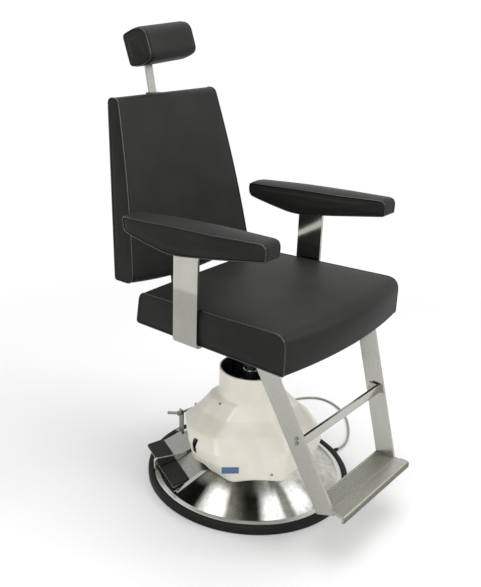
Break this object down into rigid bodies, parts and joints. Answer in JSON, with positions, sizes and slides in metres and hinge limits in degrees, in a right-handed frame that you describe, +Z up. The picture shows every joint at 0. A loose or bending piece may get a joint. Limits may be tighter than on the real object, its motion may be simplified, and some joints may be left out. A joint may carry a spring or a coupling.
{
  "type": "barber chair",
  "caption": "Power-lift barber chair on a round bumpered base: black upholstery, sliding tilting headrest, cream shroud, two foot pedals, footrest and power cord.",
  "frame": {"origin": "on the floor, on the swivel axis", "axes": "+Z up along the swivel and lift axis, -Y the way the sitter faces, +X the sitter's left"},
  "size_m": [0.824, 0.8062, 1.2324],
  "materials": {
    "polished_steel": "polished sheet and flat bar",
    "chrome": "hard chrome",
    "zinc_steel": "bright zinc",
    "cast_iron": "painted casting",
    "cast_aluminium": "sand cast, ribbed",
    "bronze": "sintered",
    "machine_paint": "grey machine paint",
    "black_enamel": "gloss enamel",
    "cream_shell": "moulded cream shell",
    "badge": "bare plate",
    "black_vinyl": "black upholstery",
    "rubber": "moulded",
    "black_plastic": "moulded",
    "cord_grey": "grey flexible cord",
    "plywood": "raw plywood"
  },
  "bodies": {
    "base": {"base_plate": "cast_iron", "bumper_ring": "rubber", "base_cover": "polished_steel", "pedal_rails": "polished_steel", "pedal_divider": "polished_steel", "pedal_shaft": "zinc_steel", "pedal_springs": "zinc_steel", "pedal_switches": "black_plastic", "lock_bracket": "polished_steel", "shroud_front": "cream_shell", "shroud_rear": "cream_shell", "shroud_screws": "zinc_steel", "badge_plate": "badge", "cylinder_barrel": "machine_paint", "cylinder_gland": "zinc_steel", "guide_bridge": "machine_paint", "guide_bushes": "bronze", "pump_motor": "machine_paint", "pump_body": "cast_aluminium", "oil_reservoir": "machine_paint", "pressure_pipe": "zinc_steel", "strain_relief": "rubber", "power_cord": "cord_grey", "power_cord_coil": "cord_grey", "power_plug": "black_plastic"},
    "lift": {"ram": "chrome", "piston": "zinc_steel", "crosshead": "machine_paint", "guide_rods": "chrome", "thrust_bearing": "zinc_steel"},
    "chair": {"swivel_hub": "machine_paint", "hub_bolts": "zinc_steel", "saddle_plate": "black_enamel", "seat_board": "plywood", "seat_cushion": "black_vinyl", "arm_post_left": "polished_steel", "arm_post_right": "polished_steel", "arm_pad_left": "black_vinyl", "arm_pad_right": "black_vinyl", "footrest_bar_left": "polished_steel", "footrest_bar_right": "polished_steel", "footrest_tie": "black_enamel", "footrest_crossbar": "polished_steel", "footrest_step": "cast_aluminium", "footrest_screws": "zinc_steel", "recline_pin": "zinc_steel"},
    "knob": {"recline_knob": "black_plastic"},
    "back": {"back_bar": "black_enamel", "back_board": "plywood", "back_cushion": "black_vinyl", "headrest_guide": "black_enamel"},
    "stalk": {"headrest_stalk": "polished_steel"},
    "headrest": {"headrest_frame": "black_enamel", "tilt_pin": "zinc_steel", "headrest_pad": "black_vinyl"},
    "pedal_lower": {"pedal_plate_lower": "polished_steel", "pedal_pad_lower": "rubber"},
    "pedal_raise": {"pedal_plate_raise": "polished_steel", "pedal_pad_raise": "rubber"},
    "lock": {"lock_lever": "chrome"}
  },
  "joints": [
    {"name": "lift", "type": "slide", "parent": "base", "child": "lift", "axis": [0, 0, 1], "range_m": [-0.04, 0.16]},
    {"name": "swivel", "type": "hinge", "parent": "lift", "child": "chair", "pos_m": [0, 0, 0.4], "axis": [0, 0, 1], "continuous": true},
    {"name": "recline", "type": "hinge", "parent": "chair", "child": "back", "pos_m": [0, 0.215, 0.478], "axis": [-1, 0, 0], "range_deg": [0, 30]},
    {"name": "recline_knob_turn", "type": "hinge", "parent": "chair", "child": "knob", "pos_m": [0.061, 0.215, 0.478], "axis": [1, 0, 0], "range_deg": [-60, 60]},
    {"name": "headrest_height", "type": "slide", "parent": "back", "child": "stalk", "axis": [0, 0.2079, 0.9781], "range_m": [0, 0.1]},
    {"name": "headrest_tilt", "type": "hinge", "parent": "stalk", "child": "headrest", "pos_m": [0, 0.39517, 1.16], "axis": [1, 0, 0], "range_deg": [-20, 20]},
    {"name": "pedal_lower_press", "type": "hinge", "parent": "base", "child": "pedal_lower", "pos_m": [-0.08502, 0.04239, 0.085], "axis": [0.4462, 0.8949, 0], "range_deg": [0, 7], "stiffness_Nm_per_rad": 20, "springref_deg": -11.46},
    {"name": "pedal_raise_press", "type": "hinge", "parent": "base", "child": "pedal_raise", "pos_m": [-0.0404, 0.13188, 0.085], "axis": [0.4462, 0.8949, 0], "range_deg": [0, 4.5], "stiffness_Nm_per_rad": 20, "springref_deg": -11.46},
    {"name": "lock_lever_turn", "type": "hinge", "parent": "base", "child": "lock", "pos_m": [-0.01255, 0.23982, 0.107], "axis": [-0.9848, 0.1736, 0], "range_deg": [-12, 12]}
  ]
}
